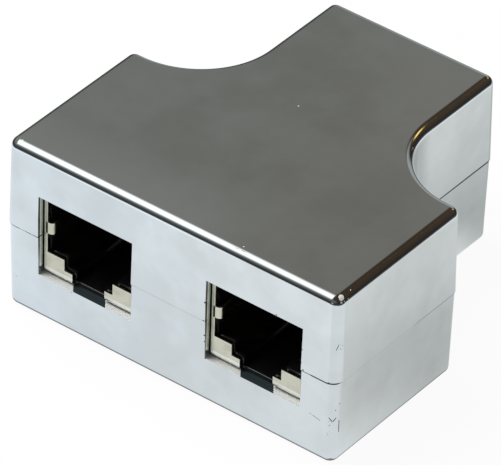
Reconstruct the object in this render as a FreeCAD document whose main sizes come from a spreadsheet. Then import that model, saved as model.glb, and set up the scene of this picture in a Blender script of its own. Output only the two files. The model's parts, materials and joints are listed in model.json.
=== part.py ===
import FreeCAD, Part
import math
import os
import Sketcher

# Shielded network splitter: a T-shaped plated housing in two half shells with
# two sockets in its wide front and one in the end of its neck. Millimetres, +Z up,
# origin under the middle of the housing. Before it is placed, each shell is drawn
# with the front face at y = 0 and the parting plane at z = 0, and each socket piece
# with the front of its shield at y = 0, its mouth towards -Y and the same z.

# Driving dimensions in millimetres, and one angle in degrees. Below them are the number
# of contacts in a socket, how far a cut starts outside a piece, and how far a cut runs
# into room that is already open.
SIZES = {
    # Housing, outside
    "front_width": 47.6,
    "total_length": 45.9,
    "wing_depth": 23.2,
    "neck_side": 5.35,
    "upper_height": 11.7,
    "lower_height": 11.7,
    "front_corner_radius": 1.5,
    "back_corner_radius": 1.3,
    "junction_radius": 10.0,
    "wing_flat": 1.6,
    "top_edge_radius": 1.05,
    "bottom_edge_cut": 0.4,
    "draft_angle": 1.1,
    "corner_spare": 0.02,
    # Housing, walls and seam
    "wall": 1.8,
    "cover_thickness": 1.8,
    "seam_step": 0.1,
    "seam_gap": 0.12,
    "seam_depth": 0.4,
    "tongue_thickness": 0.7,
    "tongue_height": 1.0,
    "tongue_clearance": 0.08,
    # Windows that the sockets stand in
    "socket_spacing": 24.2,
    "window_side_gap": 0.1,
    "window_top_gap": 0.12,
    "window_bottom_gap": 0.25,
    # Stepped opening for the plug, its latch step and its latch channel
    "plug_width": 11.84,
    "plug_roof": 4.5,
    "plug_depth": 11.0,
    "first_ledge": 2.2,
    "second_ledge": 3.74,
    "latch_step_width": 7.04,
    "channel_width": 4.5,
    "channel_floor": 0.3,
    # Folded shield round each socket
    "shield_recess": 0.9,
    "sheet": 0.25,
    "bend_radius": 0.5,
    "corner_relief": 0.1,
    "mouth_margin": 0.08,
    "mouth_headroom": 0.45,
    "latch_slot_margin": 0.095,
    "bottom_flap_length": 3.0,
    "back_flap_width": 12.0,
    "back_flap_bottom": 4.2,
    "leg_place": 9.0,
    "leg_width": 1.2,
    "leg_reach_share": 0.33,
    # Springs folded into the mouth that touch a plug's shell
    "spring_bottom": 0.65,
    "spring_top": 2.0,
    "spring_reach": 0.85,
    "spring_bend": 0.475,
    "spring_length": 5.0,
    "spring_lean": 0.55,
    # Moulded insert with the plug cavity
    "insert_clearance": 0.05,
    "insert_setback": 0.35,
    "insert_side_wall": 0.43,
    "insert_roof": 0.7,
    "insert_back_wall": 2.2,
    "lead_in": 0.2,
    "lead_in_depth": 1.0,
    "spring_slot_margin": 0.15,
    "spring_slot_spare": 1.5,
    "flap_notch_spare": 0.4,
    "comb_depth": 1.2,
    "comb_bottom": 1.7,
    "peg_width": 2.0,
    "peg_place": 7.0,
    "peg_inset": 1.35,
    # Contact wires and the block that holds their tails
    "contact_pitch": 1.02,
    "contact_width": 0.45,
    "contact_thickness": 0.3,
    "contact_clearance": 0.08,
    "contact_outer_bend": 0.53,
    "contact_inner_bend": 0.35,
    "contact_drop": 1.5,
    "contact_front": 2.6,
    "contact_tip_depth": 0.2,
    "contact_tip_level": 2.25,
    "tail_inset": 0.7,
    "tail_row_pitch": 1.8,
    "tail_reach_share": 0.36,
    "block_gap": 0.1,
    "block_depth": 3.8,
    # Circuit board
    "board_level": 5.25,
    "board_thickness": 1.6,
    "board_gap": 0.1,
    "board_clearance": 0.3,
    "tail_hole_width": 0.9,
    "hole_clearance": 0.15,
    # Posts and ribs that join the shells and hold the board
    "boss_width": 3.2,
    "post_width": 2.2,
    "pin_width": 1.4,
    "pin_height": 3.0,
    "pin_clearance": 0.04,
    "socket_spare_depth": 0.4,
    "boss_inset": 4.5,
    "boss_gap": 0.1,
    "pad_width": 8.0,
    "pad_length": 1.5,
    "pad_place": 3.4,
    "rib_width": 8.0,
    "rib_thickness": 1.2,
    "rib_front_place": 4.0,
    "rib_back_place": 15.0,
    "rib_clearance": 0.05,
}
CONTACTS = 8
OVERCUT = 1.0
CUT_OVERLAP = 0.1

# A slanted line that touches a round inner corner's arc leaves each side of the corner at
# this share of the radius.
SLANT_SHARE = 2 - math.sqrt(2)


class Size:
    """A length and the sheet formula that gives it."""

    def __init__(self, value, formula):
        self.value = value
        self.formula = formula

    def join(self, other, sign):
        other = as_size(other)
        value = {"+": self.value + other.value, "-": self.value - other.value,
                 "*": self.value * other.value, "/": self.value / (other.value or 1.0)}[sign]
        return Size(value, f"({self.formula} {sign} {other.formula})")

    def __add__(self, other):
        return self.join(other, "+")

    def __sub__(self, other):
        return self.join(other, "-")

    def __mul__(self, other):
        return self.join(other, "*")

    def __truediv__(self, other):
        return self.join(other, "/")

    def __radd__(self, other):
        return as_size(other) + self

    def __rsub__(self, other):
        return as_size(other) - self

    def __rmul__(self, other):
        return as_size(other) * self

    def __neg__(self):
        return as_size(0) - self


def as_size(number):
    """A plain number as a Size; a Size stays as it is."""
    return number if isinstance(number, Size) else Size(float(number), repr(float(number)))


def tangent(angle):
    """The tangent of an angle in degrees."""
    return Size(math.tan(math.radians(angle.value)), f"tan({angle.formula})")


def smaller(first, second):
    """The smaller of two sizes."""
    return Size(min(first.value, second.value), f"min({first.formula}; {second.formula})")


class Sizes:
    """The driving dimensions, each read by its name."""

    def __getattr__(self, name):
        return Size(SIZES[name], "Sizes." + name)


S = Sizes()
doc = FreeCAD.newDocument("splitter")


def fill_sheet():
    """The spreadsheet that every sketch and feature reads."""
    sheet = doc.addObject("Spreadsheet::Sheet", "Sizes")
    for row, (name, value) in enumerate(SIZES.items(), start=1):
        sheet.set(f"A{row}", name)
        sheet.set(f"B{row}", str(value))
        sheet.setAlias(f"B{row}", name)
    doc.recompute()


# Sketch and feature helpers


def bind(item, path, size):
    """Tie a property of an object to the sheet."""
    item.setExpression(path, as_size(size).formula)


def new_body(label, x=0, y=0, z=0, turned=False):
    """An empty body with its place; turned faces it the other way."""
    body = doc.addObject("PartDesign::Body", label)
    body.Label = label
    half_turn = FreeCAD.Rotation(FreeCAD.Vector(0, 0, 1), 180 if turned else 0)
    body.Placement = FreeCAD.Placement(FreeCAD.Vector(), half_turn)
    for axis, place in (("x", x), ("y", y), ("z", z)):
        bind(body, "Placement.Base." + axis, place)
    return body


def new_sketch(body, plane, shift=0):
    """A sketch on one of the body's own planes, moved along the plane's normal."""
    sketch = body.newObject("Sketcher::SketchObject", body.Name + "_sketch")
    base = next(item for item in body.Origin.OriginFeatures if item.Role == plane + "_Plane")
    sketch.AttachmentSupport = [(base, "")]
    sketch.MapMode = "FlatFace"
    bind(sketch, "AttachmentOffset.Base.z", shift)
    return sketch


def hold(sketch, geometry, end, x, y):
    """Fix one end of a sketch element at (x, y) from the origin."""
    for kind, place in (("DistanceX", x), ("DistanceY", y)):
        if place is not None:
            place = as_size(place)
            index = sketch.addConstraint(Sketcher.Constraint(kind, -1, 1, geometry, end, place.value))
            bind(sketch, f"Constraints[{index}]", place)


def outline(sketch, corners, radii={}, closed=True):
    """Straight runs from corner to corner; a corner that has a radius gets a tangent arc."""
    corners = [(as_size(x), as_size(y)) for x, y in corners]
    spots = [FreeCAD.Vector(x.value, y.value, 0) for x, y in corners]
    starts, ends, arcs = list(spots), spots[1:] + spots[:1], {}
    for index, radius in radii.items():
        spot = spots[index]
        come = (spots[index - 1] - spot).normalize()
        leave = (spots[(index + 1) % len(spots)] - spot).normalize()
        half = come.getAngle(leave) / 2
        middle = spot + (come + leave).normalize() * (radius.value / math.sin(half) - radius.value)
        ends[index - 1] = spot + come * (radius.value / math.tan(half))
        starts[index] = spot + leave * (radius.value / math.tan(half))
        arcs[index] = Part.Arc(ends[index - 1], middle, starts[index])
    runs = list(zip(starts, ends))[:None if closed else -1]
    lines = [sketch.addGeometry(Part.LineSegment(a, b)) for a, b in runs]
    if not closed:
        hold(sketch, lines[0], 1, *corners[0])
        hold(sketch, lines[-1], 2, *corners[-1])
    for index in range(0 if closed else 1, len(lines)):
        if index in arcs:
            join_by_arc(sketch, lines[index - 1], lines[index], arcs[index], radii[index], corners[index])
        else:
            sketch.addConstraint(Sketcher.Constraint("Coincident", lines[index - 1], 2, lines[index], 1))
            hold(sketch, lines[index], 1, *corners[index])


def join_by_arc(sketch, before, after, arc, radius, corner):
    """Join two lines by a tangent arc; the lines still aim at the sharp corner."""
    bend = sketch.addGeometry(arc)
    end = sketch.getPoint(before, 2)
    first = 1 if sketch.getPoint(bend, 1).distanceToPoint(end) < 1e-6 else 2
    sketch.addConstraint(Sketcher.Constraint("Tangent", before, 2, bend, first))
    sketch.addConstraint(Sketcher.Constraint("Tangent", bend, 3 - first, after, 1))
    number = sketch.addConstraint(Sketcher.Constraint("Radius", bend, radius.value))
    bind(sketch, f"Constraints[{number}]", radius)
    point = sketch.addGeometry(Part.Point(FreeCAD.Vector(corner[0].value, corner[1].value, 0)), True)
    hold(sketch, point, 1, *corner)
    for line in (before, after):
        sketch.addConstraint(Sketcher.Constraint("PointOnObject", point, 1, line))


def rectangle(sketch, left, right, bottom, top):
    """A closed rectangle."""
    outline(sketch, [(left, bottom), (right, bottom), (right, top), (left, top)])


def octagon(sketch, x, y, width):
    """An eight-sided hole, post or peg, given by its width across the flats."""
    far = as_size(width) / 2
    near = far * math.tan(math.pi / 8)
    ring = [(far, near), (near, far), (-near, far), (-far, near),
            (-far, -near), (-near, -far), (near, -far), (far, -near)]
    outline(sketch, [(x + across, y + along) for across, along in ring])


def housing_outline(sketch, inset, slanted=False, rounded=False):
    """The T outline, set in from the housing's outer face.

    Its two inner corners are arcs, or slanted lines that leave the wall behind them as thick.
    """
    inset = as_size(inset)
    side, neck = S.front_width / 2 - inset, CAN_HALF + S.neck_side - inset
    front, wing, back = inset, S.wing_depth - inset, S.total_length - inset
    junction = smaller(S.junction_radius, side - neck - S.wing_flat)
    slant = (junction + inset) * SLANT_SHARE
    inner = [(neck + slant, wing), (neck, wing + slant)] if slanted else [(neck, wing)]
    right = [(side, front), (side, wing)] + inner + [(neck, back)]
    corners = right + [(-x, y) for x, y in reversed(right)]
    radii = {} if slanted else {2: junction, 5: junction}
    if rounded:
        radii.update({index: S.front_corner_radius - inset for index in (0, 7)})
        radii.update({index: S.back_corner_radius - inset for index in (1, 3, 4, 6)})
    outline(sketch, corners, radii)


def feature(body, kind, sketch, length=None, reverse=False, middle=False, taper=None):
    """A pad or pocket of the sketch; without a length a pocket goes right through."""
    item = body.newObject("PartDesign::" + kind, body.Name + "_" + kind.lower())
    item.Profile = sketch
    item.Reversed = reverse
    if middle:
        item.Midplane = True
    if length is None:
        item.Type = "ThroughAll"
    else:
        bind(item, "Length", length)
    if taper is not None:
        bind(item, "TaperAngle", -taper)
    sketch.Visibility = False
    return item


def round_edges(body, base, radius, chosen):
    """Round the edges of the last feature that the test picks."""
    doc.recompute()
    names = [f"Edge{n}" for n, edge in enumerate(base.Shape.Edges, start=1) if chosen(edge)]
    item = body.newObject("PartDesign::Fillet", body.Name + "_fillet")
    item.Base = (base, names)
    bind(item, "Radius", radius)
    return item


def cut_edges(body, base, size, chosen):
    """Chamfer the edges of the last feature that the test picks."""
    doc.recompute()
    names = [f"Edge{n}" for n, edge in enumerate(base.Shape.Edges, start=1) if chosen(edge)]
    item = body.newObject("PartDesign::Chamfer", body.Name + "_chamfer")
    item.Base = (base, names)
    bind(item, "Size", size)
    return item


def repeat(body, base, axis, length, count):
    """Copies of a feature in a row along one of the body's axes."""
    item = body.newObject("PartDesign::LinearPattern", body.Name + "_row")
    item.Originals = [base]
    line = next(part for part in body.Origin.OriginFeatures if part.Role == axis + "_Axis")
    item.Direction = (line, [""])
    bind(item, "Length", length)
    item.Occurrences = count
    body.Tip = item
    return item


def mirror_sideways(body, base):
    """The feature's mirror image on the other side of the body's YZ plane."""
    item = body.newObject("PartDesign::Mirrored", body.Name + "_mirror")
    item.Originals = [base]
    plane = next(part for part in body.Origin.OriginFeatures if part.Role == "YZ_Plane")
    item.MirrorPlane = (plane, [""])
    body.Tip = item
    return item


def lies_at(edge, axis, place):
    """True for an edge that lies wholly in the plane axis = place."""
    box = edge.BoundBox
    low, high = getattr(box, axis + "Min"), getattr(box, axis + "Max")
    return abs(low - place) < 1e-3 and abs(high - place) < 1e-3


# Places shared by several pieces

PARTING = {"y": -S.total_length / 2, "z": S.lower_height}
BOARD_TOP = -S.board_level
BOARD_BOTTOM = BOARD_TOP - S.board_thickness
UNDER_BOARD = S.lower_height - S.cover_thickness + BOARD_BOTTOM
CHANNEL_BOTTOM = BOARD_TOP + S.channel_floor
INSERT_FRONT = S.sheet + S.insert_setback
INSERT_DEPTH = S.plug_depth + S.insert_back_wall
INSERT_HALF = S.plug_width / 2 + S.insert_side_wall
INSERT_TOP = S.plug_roof + S.insert_roof
INNER_BEND = S.bend_radius - S.sheet
PEG_OUT = INSERT_HALF - S.peg_inset
BLOCK_FRONT = INSERT_FRONT + INSERT_DEPTH + S.block_gap
BLOCK_BACK = BLOCK_FRONT + S.block_depth
WIRE_LEVEL = S.plug_roof + S.contact_clearance + S.contact_thickness / 2
CAN_HALF = INSERT_HALF + S.insert_clearance + S.sheet
CAN_TOP = INSERT_TOP + S.insert_clearance + S.sheet
CAN_BOTTOM = BOARD_TOP + S.board_gap
CAN_DEPTH = BLOCK_BACK + S.insert_clearance + S.sheet
MOUTH_WIDTH = S.plug_width + S.mouth_margin * 2
LATCH_SLOT_WIDTH = S.channel_width + S.latch_slot_margin * 2
WINDOW_HALF = CAN_HALF + S.window_side_gap
WINDOW_TOP = CAN_TOP + S.window_top_gap
WINDOW_BOTTOM = CAN_BOTTOM - S.window_bottom_gap
SOCKETS = {
    "front_left": (-S.socket_spacing / 2, -S.total_length / 2 + S.shield_recess, False),
    "front_right": (S.socket_spacing / 2, -S.total_length / 2 + S.shield_recess, False),
    "rear": (as_size(0), S.total_length / 2 - S.shield_recess, True),
}
NECK_BOSS_OUT = CAN_HALF + S.boss_gap + S.boss_width / 2
BOSSES = [
    (as_size(0), S.boss_inset),
    (-NECK_BOSS_OUT, S.total_length - S.boss_inset),
    (NECK_BOSS_OUT, S.total_length - S.boss_inset),
]


def in_shell(socket, x, y):
    """A point given from a socket's shield, as the shells and the board have it."""
    place_x, place_y, turned = SOCKETS[socket]
    sign = -1 if turned else 1
    return place_x + x * sign, place_y + y * sign + S.total_length / 2


def contact_offset(index):
    """How far a contact lies from the middle of its socket."""
    return S.contact_pitch * (index - (CONTACTS - 1) / 2)


def tail_offset(index):
    """How far back a contact's tail goes down; the tails stand in two rows."""
    return BLOCK_FRONT + S.tail_inset + S.tail_row_pitch * (index % 2)


# Housing shells


def shell_block(body, height, inset, reverse):
    """The outside of one half, with drafted walls and rounded corners."""
    sketch = new_sketch(body, "XY")
    housing_outline(sketch, inset, rounded=True)
    return feature(body, "Pad", sketch, height, reverse=reverse, taper=S.draft_angle)


def edge_room(height, inset):
    """How far a rounding or a chamfer of the outer edge can go at the sharpest corner."""
    return S.back_corner_radius - inset - height * tangent(S.draft_angle) - S.corner_spare


def hollow(body, height, reverse):
    """The room inside one half."""
    sketch = new_sketch(body, "XY")
    housing_outline(sketch, S.wall, slanted=True)
    feature(body, "Pocket", sketch, height - S.cover_thickness, reverse=not reverse)


def cut_windows(body):
    """The three windows, through the front wall and through the end of the neck."""
    rear_wall = S.total_length - S.wall
    for sockets, wall_front in ((("front_left", "front_right"), as_size(0)), (("rear",), rear_wall)):
        sketch = new_sketch(body, "XZ", OVERCUT - wall_front)
        for socket in sockets:
            x = SOCKETS[socket][0]
            rectangle(sketch, x - WINDOW_HALF, x + WINDOW_HALF, WINDOW_BOTTOM, WINDOW_TOP)
        feature(body, "Pocket", sketch, S.wall + OVERCUT * 2)


def at_bosses(body, width, level):
    """A sketch with the same eight-sided section at each boss."""
    sketch = new_sketch(body, "XY", level)
    for x, y in BOSSES:
        octagon(sketch, x, y, width)
    return sketch


def make_upper_shell():
    body = new_body("upper_shell", **PARTING)
    block = shell_block(body, S.upper_height, as_size(0), False)
    top = S.upper_height.value
    radius = smaller(S.top_edge_radius, edge_room(S.upper_height, as_size(0)))
    round_edges(body, block, radius, lambda edge: lies_at(edge, "Z", top))
    hollow(body, S.upper_height, False)
    tongue = new_sketch(body, "XY")
    housing_outline(tongue, S.wall, slanted=True)
    housing_outline(tongue, S.wall - S.tongue_thickness, slanted=True)
    feature(body, "Pad", tongue, S.tongue_height, reverse=True)
    ceiling = S.upper_height - S.cover_thickness
    feature(body, "Pad", at_bosses(body, S.boss_width, 0), ceiling)
    bore = at_bosses(body, S.pin_width + S.pin_clearance * 2, 0)
    feature(body, "Pocket", bore, S.pin_height + S.socket_spare_depth, reverse=True)
    ribs = new_sketch(body, "XY", ceiling)
    for socket in SOCKETS:
        for place in (S.rib_front_place, S.rib_back_place):
            x, y = in_shell(socket, as_size(0), place)
            rectangle(ribs, x - S.rib_width / 2, x + S.rib_width / 2,
                      y - S.rib_thickness / 2, y + S.rib_thickness / 2)
    feature(body, "Pad", ribs, ceiling - CAN_TOP - S.rib_clearance, reverse=True)
    cut_windows(body)
    return body


def make_lower_shell():
    body = new_body("lower_shell", **PARTING)
    block = shell_block(body, S.lower_height, S.seam_step, True)
    bottom = -S.lower_height.value
    cut = smaller(S.bottom_edge_cut, edge_room(S.lower_height, S.seam_step))
    cut_edges(body, block, cut, lambda edge: lies_at(edge, "Z", bottom))
    hollow(body, S.lower_height, True)
    rebate = new_sketch(body, "XY")
    housing_outline(rebate, S.wall + S.tongue_clearance, slanted=True)
    housing_outline(rebate, S.wall - S.tongue_thickness - S.tongue_clearance, slanted=True)
    feature(body, "Pocket", rebate, S.tongue_height + S.tongue_clearance)
    seam = new_sketch(body, "XY")
    housing_outline(seam, -S.wall, slanted=True)
    housing_outline(seam, S.seam_depth)
    feature(body, "Pocket", seam, S.seam_gap)
    floor = S.cover_thickness - S.lower_height
    feature(body, "Pad", at_bosses(body, S.boss_width, floor), BOARD_BOTTOM - floor)
    feature(body, "Pad", at_bosses(body, S.post_width, BOARD_BOTTOM), -BOARD_BOTTOM)
    feature(body, "Pad", at_bosses(body, S.pin_width, 0), S.pin_height)
    pads = new_sketch(body, "XY", floor)
    for socket in SOCKETS:
        x, y = in_shell(socket, as_size(0), S.pad_place)
        rectangle(pads, x - S.pad_width / 2, x + S.pad_width / 2,
                  y - S.pad_length / 2, y + S.pad_length / 2)
    feature(body, "Pad", pads, BOARD_BOTTOM - floor)
    cut_windows(body)
    return body


# Circuit board


def make_circuit_board():
    body = new_body("circuit_board", **PARTING)
    plate = new_sketch(body, "XY", BOARD_BOTTOM)
    housing_outline(plate, S.wall + S.board_clearance, slanted=True)
    feature(body, "Pad", plate, S.board_thickness)
    feature(body, "Pocket", at_bosses(body, S.post_width + S.hole_clearance * 2, BOARD_TOP))
    for socket, (_, _, turned) in SOCKETS.items():
        for row in (0, 1):
            leftmost = row + CONTACTS - 2 if turned else row
            hole = new_sketch(body, "XY", BOARD_TOP)
            x, y = in_shell(socket, contact_offset(leftmost), tail_offset(row))
            far = S.tail_hole_width / 2
            rectangle(hole, x - far, x + far, y - far, y + far)
            bore = feature(body, "Pocket", hole)
            repeat(body, bore, "X", S.contact_pitch * (CONTACTS - 2), CONTACTS // 2)
        slots = new_sketch(body, "XY", BOARD_TOP)
        for side in (-1, 1):
            x, y = in_shell(socket, PEG_OUT * side, S.peg_place)
            octagon(slots, x, y, S.peg_width + S.hole_clearance)
            x, y = in_shell(socket, (CAN_HALF - S.sheet / 2) * side, S.leg_place)
            wide, long = S.sheet / 2 + S.hole_clearance, S.leg_width / 2 + S.hole_clearance
            rectangle(slots, x - wide, x + wide, y - long, y + long)
        feature(body, "Pocket", slots)
    return body


# Socket shield, folded from one sheet


def mouth_outline(width, top, step, slot, bottom):
    """The stepped plug opening: plug body, latch step and latch slot below it."""
    right = [(width / 2, top), (width / 2, -S.first_ledge), (step / 2, -S.first_ledge),
             (step / 2, -S.second_ledge), (slot / 2, -S.second_ledge), (slot / 2, bottom)]
    return right + [(-x, y) for x, y in reversed(right)]


def box_edge(front, half, bottom, top):
    """A test for the edges where two faces of a box open at its back meet."""
    front, half, bottom, top = (as_size(size).value for size in (front, half, bottom, top))

    def chosen(edge):
        on_side = lies_at(edge, "X", half) or lies_at(edge, "X", -half)
        on_level = lies_at(edge, "Z", top) or lies_at(edge, "Z", bottom)
        return on_side + on_level + lies_at(edge, "Y", front) == 2

    return chosen


def make_shield(socket):
    x, y, turned = SOCKETS[socket]
    body = new_body(socket + "_shield", x, y, S.lower_height, turned)
    front = new_sketch(body, "XZ")
    rectangle(front, -CAN_HALF, CAN_HALF, CAN_BOTTOM, CAN_TOP)
    block = feature(body, "Pad", front, CAN_DEPTH, reverse=True)
    relief = S.bend_radius + S.corner_relief
    reliefs = new_sketch(body, "XZ", OVERCUT)
    for side in (-1, 1):
        inner, outer = (CAN_HALF - relief) * side, (CAN_HALF + OVERCUT) * side
        rectangle(reliefs, inner, outer, CAN_TOP - relief, CAN_TOP + OVERCUT)
        rectangle(reliefs, inner, outer, CAN_BOTTOM - OVERCUT, CAN_BOTTOM + relief)
    block = feature(body, "Pocket", reliefs, relief + OVERCUT)
    block = round_edges(body, block, S.bend_radius, box_edge(0, CAN_HALF, CAN_BOTTOM, CAN_TOP))
    hollow_face = new_sketch(body, "XZ", -S.sheet)
    inner_half, inner_top, inner_bottom = CAN_HALF - S.sheet, CAN_TOP - S.sheet, CAN_BOTTOM + S.sheet
    rectangle(hollow_face, -inner_half, inner_half, inner_bottom, inner_top)
    block = feature(body, "Pocket", hollow_face, CAN_DEPTH)
    inner_edges = box_edge(S.sheet, inner_half, inner_bottom, inner_top)
    cut_edges(body, block, INNER_BEND * SLANT_SHARE, inner_edges)
    side_bottom = CAN_BOTTOM + S.bend_radius
    below = CAN_BOTTOM - OVERCUT
    open_bottom = new_sketch(body, "YZ")
    rectangle(open_bottom, S.bottom_flap_length, CAN_DEPTH + OVERCUT, below, side_bottom)
    feature(body, "Pocket", open_bottom, (CAN_HALF + OVERCUT) * 2, middle=True)
    mouth = new_sketch(body, "XZ", OVERCUT)
    top = S.plug_roof + S.mouth_headroom
    outline(mouth, mouth_outline(MOUTH_WIDTH, top, S.latch_step_width, LATCH_SLOT_WIDTH, below))
    feature(body, "Pocket", mouth, S.sheet + OVERCUT + CUT_OVERLAP)
    slot = new_sketch(body, "XZ", OVERCUT)
    rectangle(slot, -LATCH_SLOT_WIDTH / 2, LATCH_SLOT_WIDTH / 2, below, side_bottom)
    feature(body, "Pocket", slot, S.bottom_flap_length + OVERCUT * 2)
    back_flap = new_sketch(body, "XZ", -CAN_DEPTH)
    rectangle(back_flap, -S.back_flap_width / 2, S.back_flap_width / 2, -S.back_flap_bottom, CAN_TOP)
    feature(body, "Pad", back_flap, S.sheet)
    leg = new_sketch(body, "YZ", CAN_HALF - S.sheet)
    leg_bottom = BOARD_BOTTOM - UNDER_BOARD * S.leg_reach_share
    leg_top = side_bottom + S.sheet
    rectangle(leg, S.leg_place - S.leg_width / 2, S.leg_place + S.leg_width / 2, leg_bottom, leg_top)
    mirror_sideways(body, feature(body, "Pad", leg, S.sheet))
    fold_spring(body)
    return body


def fold_spring(body):
    """A spring on each side of the mouth, folded back from the edge of the front."""
    edge = MOUTH_WIDTH / 2
    bend_x = edge - S.spring_reach + S.sheet / 2
    path = new_sketch(body, "XY", (S.spring_bottom + S.spring_top) / 2)
    corners = [(edge + S.sheet / 2, S.sheet / 2), (bend_x, S.sheet / 2),
               (bend_x + S.spring_lean, S.spring_length)]
    outline(path, corners, {1: S.spring_bend}, closed=False)
    section = new_sketch(body, "YZ", edge + S.sheet / 2)
    rectangle(section, as_size(0), S.sheet, S.spring_bottom, S.spring_top)
    spring = body.newObject("PartDesign::AdditivePipe", body.Name + "_spring")
    spring.Profile = section
    spring.Spine = path
    mirror_sideways(body, spring)


# Moulded insert


def make_insert(socket):
    x, y, turned = SOCKETS[socket]
    body = new_body(socket + "_insert", x, y, S.lower_height, turned)
    front = new_sketch(body, "XZ", -INSERT_FRONT)
    rectangle(front, -INSERT_HALF, INSERT_HALF, BOARD_TOP, INSERT_TOP)
    block = feature(body, "Pad", front, INSERT_DEPTH, reverse=True)
    top = INSERT_TOP.value

    def top_side(edge):
        return lies_at(edge, "Z", top) and edge.BoundBox.YLength > edge.BoundBox.XLength

    cut_edges(body, block, INNER_BEND, top_side)
    cut_cavity(body)
    cut_shield_notches(body)
    cut_contact_grooves(body)
    pegs = new_sketch(body, "XY", BOARD_TOP)
    for side in (-1, 1):
        octagon(pegs, PEG_OUT * side, S.peg_place, S.peg_width)
    feature(body, "Pad", pegs, S.board_thickness, reverse=True)
    return body


def cut_cavity(body):
    """The room for the plug, with a short taper at its mouth that leads the plug in."""
    straight = mouth_outline(S.plug_width, S.plug_roof, S.latch_step_width, S.channel_width, CHANNEL_BOTTOM)
    grow = S.lead_in * 2
    widened = mouth_outline(S.plug_width + grow, S.plug_roof + S.lead_in, S.latch_step_width + grow,
                            S.channel_width, CHANNEL_BOTTOM)
    cavity = new_sketch(body, "XZ", -INSERT_FRONT)
    outline(cavity, straight)
    feature(body, "Pocket", cavity, S.plug_depth)
    wide = new_sketch(body, "XZ", -INSERT_FRONT)
    outline(wide, widened)
    narrow = new_sketch(body, "XZ", -(INSERT_FRONT + S.lead_in_depth))
    outline(narrow, straight)
    lead = body.newObject("PartDesign::SubtractiveLoft", body.Name + "_lead_in")
    lead.Profile = wide
    lead.Sections = [narrow]
    lead.Ruled = True


def cut_shield_notches(body):
    """Room beside the cavity for the shield's springs, and below it for the shield's bottom flap."""
    inner, outer = S.plug_width / 2 - CUT_OVERLAP, INSERT_HALF + OVERCUT
    for_springs = new_sketch(body, "XZ", -INSERT_FRONT)
    for_flap = new_sketch(body, "XZ", -INSERT_FRONT)
    for side in (-1, 1):
        rectangle(for_springs, inner * side, outer * side,
                  S.spring_bottom - S.spring_slot_margin, S.spring_top + S.spring_slot_margin)
        rectangle(for_flap, (LATCH_SLOT_WIDTH / 2 - S.insert_clearance) * side, outer * side,
                  BOARD_TOP - OVERCUT, CAN_BOTTOM + S.bend_radius)
    feature(body, "Pocket", for_springs, S.spring_length + S.spring_slot_spare - INSERT_FRONT)
    feature(body, "Pocket", for_flap, S.bottom_flap_length + S.flap_notch_spare - INSERT_FRONT)


def cut_contact_grooves(body):
    """A groove in the roof for each contact, and a comb behind the cavity for its tip."""
    half = S.contact_width / 2 + S.contact_clearance
    first = contact_offset(0)
    roof = WIRE_LEVEL + S.contact_thickness / 2 + S.contact_clearance
    row = S.contact_pitch * (CONTACTS - 1)
    groove = new_sketch(body, "XZ", OVERCUT - S.contact_front)
    rectangle(groove, first - half, first + half, S.plug_roof - CUT_OVERLAP, roof)
    repeat(body, feature(body, "Pocket", groove, INSERT_FRONT + INSERT_DEPTH), "X", row, CONTACTS)
    comb = new_sketch(body, "XZ", CUT_OVERLAP - INSERT_FRONT - S.plug_depth)
    rectangle(comb, first - half, first + half, S.comb_bottom, roof)
    repeat(body, feature(body, "Pocket", comb, S.comb_depth + CUT_OVERLAP), "X", row, CONTACTS)


# Contacts


def make_contact_block(socket):
    x, y, turned = SOCKETS[socket]
    body = new_body(socket + "_contact_block", x, y, S.lower_height, turned)
    top = WIRE_LEVEL - S.contact_thickness / 2 - S.contact_inner_bend - S.contact_clearance
    plan = new_sketch(body, "XY", BOARD_TOP)
    rectangle(plan, -INSERT_HALF, INSERT_HALF, BLOCK_FRONT, BLOCK_BACK)
    feature(body, "Pad", plan, top - BOARD_TOP)
    for row in (0, 1):
        hole = new_sketch(body, "XY", top)
        middle, place = contact_offset(row), tail_offset(row)
        wide = S.contact_width / 2 + S.contact_clearance
        long = S.contact_thickness / 2 + S.contact_clearance
        rectangle(hole, middle - wide, middle + wide, place - long, place + long)
        bore = feature(body, "Pocket", hole)
        repeat(body, bore, "X", S.contact_pitch * (CONTACTS - 2), CONTACTS // 2)
    return body


def runs_through(places):
    """A test for edges that run sideways through one of the places, given as (y, z)."""

    def chosen(edge):
        return any(lies_at(edge, "Y", y.value) and lies_at(edge, "Z", z.value) for y, z in places)

    return chosen


def make_contact(socket, index):
    x, y, turned = SOCKETS[socket]
    x = x + contact_offset(index) * (-1 if turned else 1)
    body = new_body(f"{socket}_contact_{index + 1}", x, y, S.lower_height, turned)
    profile = new_sketch(body, "YZ")
    half = S.contact_thickness / 2
    tail, tail_end = tail_offset(index), BOARD_BOTTOM - UNDER_BOARD * S.tail_reach_share
    front, dip = S.contact_front, WIRE_LEVEL - S.contact_drop
    tip, tip_level = INSERT_FRONT + S.plug_depth + S.contact_tip_depth, S.contact_tip_level
    above, below = WIRE_LEVEL + half, WIRE_LEVEL - half
    outer_bends = [(tail + half, above), (front - half, above), (front - half, dip - half)]
    inner_bends = [(front + half, dip + half), (front + half, below), (tail - half, below)]
    outline(profile, [(tail - half, tail_end), (tail + half, tail_end)] + outer_bends
            + [(tip, tip_level - half), (tip, tip_level + half)] + inner_bends)
    wire = feature(body, "Pad", profile, S.contact_width, middle=True)
    wire = cut_edges(body, wire, S.contact_outer_bend, runs_through(outer_bends))
    cut_edges(body, wire, S.contact_inner_bend, runs_through(inner_bends))
    return body


def make_all():
    pieces = [make_upper_shell(), make_lower_shell(), make_circuit_board()]
    for socket in SOCKETS:
        pieces += [make_shield(socket), make_insert(socket), make_contact_block(socket)]
        pieces += [make_contact(socket, index) for index in range(CONTACTS)]
    return pieces


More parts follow.
